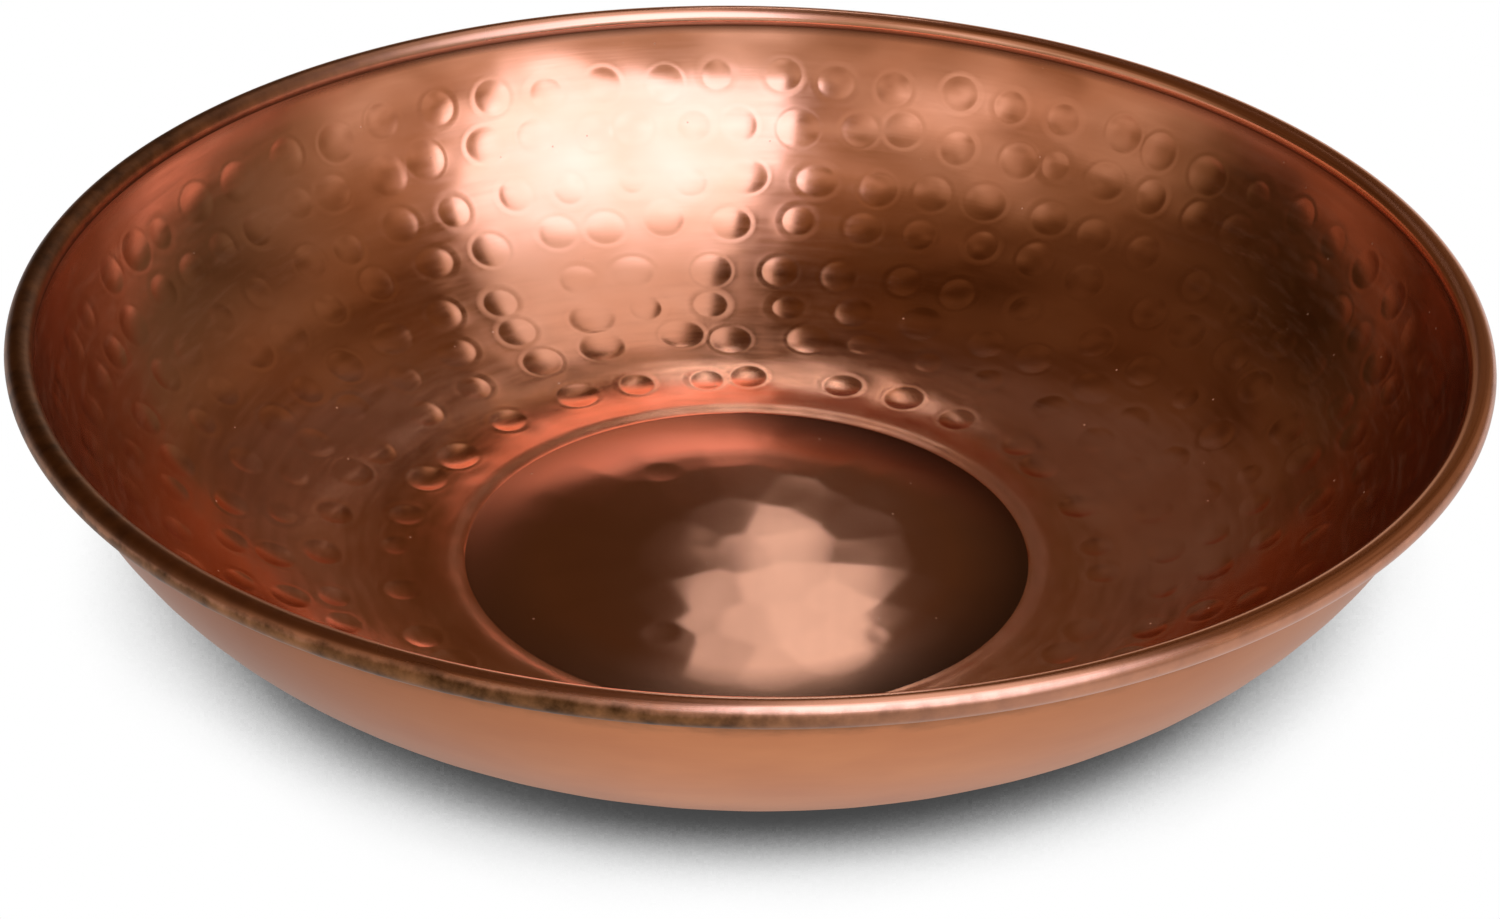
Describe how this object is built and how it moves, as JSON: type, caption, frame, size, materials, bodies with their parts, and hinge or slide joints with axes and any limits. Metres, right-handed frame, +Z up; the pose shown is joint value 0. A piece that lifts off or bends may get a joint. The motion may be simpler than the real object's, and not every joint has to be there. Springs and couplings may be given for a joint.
{
  "type": "hammered copper bowl",
  "caption": "Wide shallow bowl of hammered copper sheet with a sunken well that it stands on and an edge rolled outwards round a stiffening wire.",
  "frame": {"origin": "middle of the flat underside of the well, which the bowl stands on", "axes": "+Z up along the bowl's axis, from the resting face to the open mouth; X and Y are alike, and +Y points to the back"},
  "size_m": [0.4, 0.3998, 0.083],
  "materials": {
    "copper": "hammered and brushed copper, lacquered, with darker patina along the rim",
    "steel_wire": "plain drawn wire"
  },
  "bodies": {
    "root": {"bowl_shell": "copper", "rim_wire": "steel_wire"}
  },
  "joints": []
}
